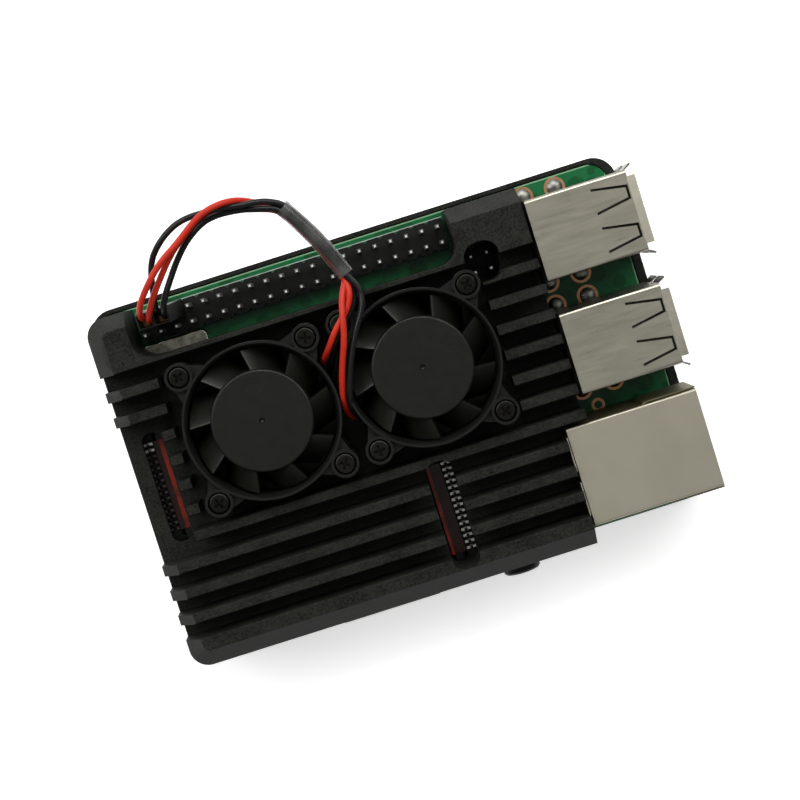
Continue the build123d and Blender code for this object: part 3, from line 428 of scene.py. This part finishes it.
def network_steel():
    """Matt, slightly yellow tinned steel. Its lower part carries painted shade: it is set darker and yellower."""
    p = Paint("network_steel").set(Metallic=1.0)
    cloud = p.noise(0.12, 3.0, 0.5)
    speck = p.noise(7.0, 3.0, 0.7)
    top = p.ramp(cloud, (0.3, (0.45, 0.42, 0.335)), (0.7, (0.50, 0.47, 0.38)))
    # painted shade: the side walls below the top are set darker and yellower
    below = p.math("LESS_THAN", p.axis("Z"), NETWORK_TOP_Z)
    p.colour(p.mix(p.math("MULTIPLY", below, 0.85), top, (0.17, 0.15, 0.07)))
    p.roughness(p.remap(speck, 0.42, 0.55))
    p.normal(p.bump(speck, 0.2, 0.008))
    return p.mat


def wire(name, dark, light, spec, rough):
    return grain(name, dark, light, 3.0, rough, 0.12, 0.02, Specular_IOR_Level=spec).mat


def film():
    """Amber polyimide film over black plastic: dark, with a red edge that is the film's own amber colour painted
    bright as light shining through it.
    """
    p = Paint("film_amber").set(Specular_IOR_Level=0.35)
    cloud = p.noise(0.5, 3.0, 0.6)
    flat = p.ramp(cloud, (0.3, (0.010, 0.0035, 0.0022)), (0.7, (0.026, 0.007, 0.0035)))
    fold = p.math("LESS_THAN", p.math("ABSOLUTE", p.facing("Z")), 0.6)
    # each film is red along one edge: its own amber colour, with painted light that makes it bright
    x = p.axis("X")
    edge = fold
    for edge_x, half_width in FILM_EDGES:
        near = p.math("LESS_THAN", p.math("ABSOLUTE", p.math("SUBTRACT", x, edge_x)), half_width)
        edge = p.math("MAXIMUM", edge, near)
    painted_glow = p.ramp(p.noise(0.4, 3.0, 0.6), (0.3, (0.075, 0.008, 0.003)), (0.7, (0.34, 0.022, 0.008)))
    p.colour(p.mix(edge, flat, painted_glow))
    p.roughness(p.remap(cloud, 0.15, 0.3))
    p.normal(p.bump(cloud, 0.3, 0.05))
    return p.mat


def sleeve_clear():
    """Clear shrink tube, drawn as a milky skin over the leads."""
    p = Paint("sleeve_clear").set(Specular_IOR_Level=0.6, IOR=1.45, Coat_Weight=0.5, Coat_Roughness=0.1)
    streak = p.noise(0.35, 1.0, 0.4)
    p.colour(p.ramp(streak, (0.3, (0.07, 0.07, 0.065)), (0.7, (0.16, 0.16, 0.15))))
    p.link(p.remap(streak, 0.26, 0.44), p.shader.inputs["Alpha"])
    p.roughness(p.remap(streak, 0.16, 0.26))
    p.normal(p.bump(streak, 0.06, 0.02))
    return p.mat


def lamp_clear():
    p = Paint("lamp_clear").set(Specular_IOR_Level=0.6, Transmission_Weight=0.5, IOR=1.49)
    cloud = p.noise(1.2, 2.0)
    p.colour(p.ramp(cloud, (0.3, (0.55, 0.60, 0.45)), (0.7, (0.72, 0.76, 0.62))))
    p.roughness(p.remap(cloud, 0.15, 0.28))
    return p.mat


def pin_tin():
    """Square tinned posts: the tips carry a painted highlight and the sides painted shade, so the tips are bright
    and the sides dark.
    """
    p = Paint("pin_tin").set(Metallic=0.6)
    fine = p.noise(4.0, 4.0, 0.6)
    # painted highlight on the tips, which face up, and painted shade on the sides
    tip = p.ramp(fine, (0.3, (0.80, 0.79, 0.75)), (0.7, (0.97, 0.96, 0.93)))
    side = p.ramp(fine, (0.3, (0.10, 0.10, 0.09)), (0.7, (0.20, 0.20, 0.18)))
    tin = p.mix(p.math("GREATER_THAN", p.facing("Z"), 0.9), side, tip)
    # the display socket's contacts are coloured as if film lay over all but the last few
    filmed_x, filmed_y = FILMED_CONTACTS
    covered = p.math("MULTIPLY", p.math("LESS_THAN", p.axis("X"), filmed_x),
                     p.math("LESS_THAN", p.axis("Y"), filmed_y))
    p.colour(p.mix(p.math("MULTIPLY", covered, 0.93), tin, (0.020, 0.004, 0.003)))
    p.roughness(p.remap(fine, 0.35, 0.5))
    p.normal(p.bump(fine, 0.1, 0.006))
    return p.mat


MATERIALS = {
    "anodised_black": anodised(),
    "board_green": board(),
    "header_black": header_plastic(),
    "pin_tin": pin_tin(),
    "screw_steel": bright_metal("screw_steel", (0.013, 0.013, 0.011), (0.032, 0.031, 0.027), (0.3, 0.45)),
    "chip_black": black_plastic("chip_black", 1.3, (0.45, 0.6)),
    "chip_lid": bright_metal("chip_lid", (0.55, 0.55, 0.55), (0.68, 0.68, 0.67), (0.3, 0.42)),
    "pad_grey": grain("pad_grey", (0.22, 0.27, 0.32), (0.30, 0.35, 0.40), 4.0, (0.6, 0.8), 0.3, 0.02).mat,
    "shield_steel": shell_steel(),
    "network_steel": network_steel(),
    "usb_black": black_plastic("usb_black", 0.9, (0.35, 0.5)),
    "contact_gold": bright_metal("contact_gold", (0.24, 0.21, 0.16), (0.42, 0.38, 0.30), (0.22, 0.34)),
    "lamp_clear": lamp_clear(),
    "copper": bright_metal("copper", (0.40, 0.20, 0.10), (0.62, 0.36, 0.20), (0.3, 0.45)),
    "solder": bright_metal("solder", (0.13, 0.13, 0.12), (0.30, 0.30, 0.27), (0.28, 0.42), 1.5),
    "capacitor_tan": grain("capacitor_tan", (0.10, 0.07, 0.045), (0.20, 0.14, 0.09), 2.0, (0.3, 0.5), 0.2, 0.02).mat,
    "lamp_white": grain("lamp_white", (0.55, 0.56, 0.42), (0.75, 0.76, 0.60), 3.0, (0.2, 0.35), 0.2, 0.01).mat,
    "film_amber": film(),
    "connector_black": black_plastic("connector_black", 1.0, (0.4, 0.55)),
    "latch_black": black_plastic("latch_black", 0.9, (0.3, 0.45)),
    "fan_black": black_plastic("fan_black", 0.9, (0.36, 0.5)),
    "rotor_black": grain("rotor_black", (0.0062, 0.0068, 0.0046), (0.0110, 0.0120, 0.0084), 7.0, (0.32, 0.44), 0.3,
                         0.010, Specular_IOR_Level=0.25).mat,
    "shaft_steel": bright_metal("shaft_steel", (0.55, 0.55, 0.55), (0.7, 0.7, 0.7), (0.1, 0.2)),
    "magnet_grey": grain("magnet_grey", (0.02, 0.018, 0.018), (0.04, 0.036, 0.036), 3.0, (0.5, 0.7), 0.3, 0.02).mat,
    "bearing_bronze": bright_metal("bearing_bronze", (0.40, 0.26, 0.12), (0.55, 0.38, 0.19), (0.3, 0.45)),
    "winding_copper": bright_metal("winding_copper", (0.45, 0.18, 0.07), (0.65, 0.30, 0.12), (0.25, 0.4), 3.0),
    "wire_red": wire("wire_red", (0.46, 0.018, 0.008), (0.60, 0.034, 0.014), 0.25, (0.35, 0.45)),
    "wire_black": wire("wire_black", (0.004, 0.004, 0.004), (0.008, 0.008, 0.008), 0.3, (0.25, 0.36)),
    "sleeve_clear": sleeve_clear(),
    "plug_black": black_plastic("plug_black", 0.8, (0.35, 0.5)),
    "crimp_gold": bright_metal("crimp_gold", (0.22, 0.15, 0.07), (0.34, 0.24, 0.12), (0.3, 0.42)),
}
# painted shade: the springs are coloured very dark, as the shade inside the sockets under the slots
SPRING_STEEL_IN_PAINTED_SHADE = bright_metal("spring_steel_painted_shade", (0.020, 0.019, 0.017), (0.050, 0.047, 0.040), (0.35, 0.5))

SLOT_OF = {part["node"]: part["material_slot"] for part in frame["record"]["subparts"]}


def paint(obj, material):
    obj.data.materials.clear()
    obj.data.materials.append(material)


for name, obj in NODES.items():
    paint(obj, MATERIALS[SLOT_OF[name]])
for name, curve in LEADS.items():
    paint(curve, MATERIALS[wire_slot(name)])


# ---------------------------------------------------------------- springs inside the double sockets
SPRING_PROFILE = [(79.4, 15.22), (81.2, 15.10), (83.0, 14.86), (84.4, 14.70), (85.4, 14.76), (86.25, 14.98)]
SPRING_HALF_WIDTH = 2.4
SPRING_COLUMNS = 5
SPRING_CROWN = 0.06
SPRING_THICKNESS = 0.12
SPRING_OFFSET = 3.0


def spring_tongue(name, centre):
    """A bent spring under a shell's slots, where the CAD socket is open to the floor."""
    mesh = bmesh.new()
    rows = []
    for x, z in SPRING_PROFILE:
        row = []
        for i in range(SPRING_COLUMNS):
            across = 2 * i / (SPRING_COLUMNS - 1) - 1
            crowned = z - SPRING_CROWN * across ** 2
            row.append(mesh.verts.new(on_board(x, centre + across * SPRING_HALF_WIDTH, crowned)))
        rows.append(row)
    for near, far in zip(rows, rows[1:]):
        for i in range(SPRING_COLUMNS - 1):
            mesh.faces.new((near[i], far[i], far[i + 1], near[i + 1]))
    data = bpy.data.meshes.new(name)
    mesh.to_mesh(data)
    mesh.free()
    data.shade_smooth()
    spring = bpy.data.objects.new(name, data)
    bpy.context.scene.collection.objects.link(spring)
    solid = spring.modifiers.new("solid", "SOLIDIFY")
    solid.thickness = SPRING_THICKNESS * MM
    solid.offset = 0.0
    smooth = spring.modifiers.new("smooth", "SUBSURF")
    smooth.levels = smooth.render_levels = 2
    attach(spring, "computer")
    paint(spring, SPRING_STEEL_IN_PAINTED_SHADE)


for shell in (1, 2):
    low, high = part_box(f"usb_shell_{shell}")
    middle = ((low[1] + high[1]) / 2 - BOARD.y) / MM
    for side, shift in (("left", SPRING_OFFSET), ("right", -SPRING_OFFSET)):
        spring_tongue(f"usb_spring_{shell}_{side}", middle + shift)


# ---------------------------------------------------------------- softened edges on the hard pieces
SHARP_ANGLE = 32.0
WELD_DISTANCE = 0.000002


def soften(name, width_mm):
    """Joins the faces of a CAD node and rounds its sharp edges a little, so that they catch the light."""
    obj = NODES[name]
    weld = obj.modifiers.new("weld", "WELD")
    weld.merge_threshold = WELD_DISTANCE
    bevel = obj.modifiers.new("bevel", "BEVEL")
    bevel.width = width_mm * MM
    bevel.segments = 2
    bevel.limit_method = "ANGLE"
    bevel.angle_limit = math.radians(SHARP_ANGLE)
    bevel.use_clamp_overlap = True
    bevel.harden_normals = False
    bevel.miter_outer = "MITER_ARC"


SOFT_EDGES = {
    0.08: ("upper_heatsink", "lower_heatsink"),
    0.06: ("gpio_header_base", "power_header_base", "plug_housing", "camera_connector", "display_connector"),
    0.05: ("usb_shell_1", "usb_shell_2", "network_shield", "fan_rotor_1", "fan_rotor_2", "fan_frame_1",
           "fan_frame_2"),
}
for width, names in SOFT_EDGES.items():
    for name in names:
        soften(name, width)


# ---------------------------------------------------------------- floor and light
FLOOR_HALF = 3.0
FLOOR_GLOW = 0.55
WORLD_STRENGTH = 0.6
SOFTBOX_SIZE = 0.7

floor_mesh = bpy.data.meshes.new("floor")
reach = FLOOR_HALF
floor_mesh.from_pydata([(-reach, -reach, 0), (reach, -reach, 0), (reach, reach, 0), (-reach, reach, 0)],
                       [], [(0, 1, 2, 3)])
floor = bpy.data.objects.new("floor", floor_mesh)
bpy.context.scene.collection.objects.link(floor)
floor_paint = Paint("floor").set(Roughness=0.9, Specular_IOR_Level=0.0)
floor_paint.colour(floor_paint.ramp(floor_paint.noise(0.01, 2.0), (0.3, 0.94), (0.7, 0.96)))
floor_paint.set(Emission_Color=(1.0, 1.0, 1.0), Emission_Strength=FLOOR_GLOW)
paint(floor, floor_paint.mat)

world = bpy.data.worlds.new("studio")
bpy.context.scene.world = world
world.use_nodes = True
tree = world.node_tree
background = tree.nodes["Background"]
direction = tree.nodes.new("ShaderNodeTexCoord")
split = tree.nodes.new("ShaderNodeSeparateXYZ")
tree.links.new(direction.outputs["Generated"], split.inputs["Vector"])
sky = tree.nodes.new("ShaderNodeValToRGB")
sky.color_ramp.elements[0].position = 0.0
sky.color_ramp.elements[0].color = (0.16, 0.16, 0.16, 1)
sky.color_ramp.elements[1].position = 1.0
sky.color_ramp.elements[1].color = (0.48, 0.48, 0.47, 1)
middle = sky.color_ramp.elements.new(0.60)
middle.color = (0.30, 0.30, 0.30, 1)
tree.links.new(split.outputs["Z"], sky.inputs["Fac"])
tree.links.new(sky.outputs["Color"], background.inputs["Color"])
background.inputs["Strength"].default_value = WORLD_STRENGTH


def softbox(name, location, power):
    """A large soft area light aimed at the object."""
    data = bpy.data.lights.new(name, "AREA")
    data.shape = "SQUARE"
    data.size = SOFTBOX_SIZE
    data.energy = power
    lamp = bpy.data.objects.new(name, data)
    bpy.context.scene.collection.objects.link(lamp)
    lamp.location = location
    lamp.rotation_euler = (-Vector(location)).to_track_quat("-Z", "Y").to_euler()


softbox("left_light", (-0.70, 0.55, 0.95), 6.4)
softbox("right_light", (0.70, 0.55, 0.95), 5.8)
softbox("front_light", (0.0, -0.85, 0.95), 0.5)
softbox("back_light", (0.1, 0.95, 0.95), 8.0)

bpy.context.scene.view_settings.view_transform = "Standard"
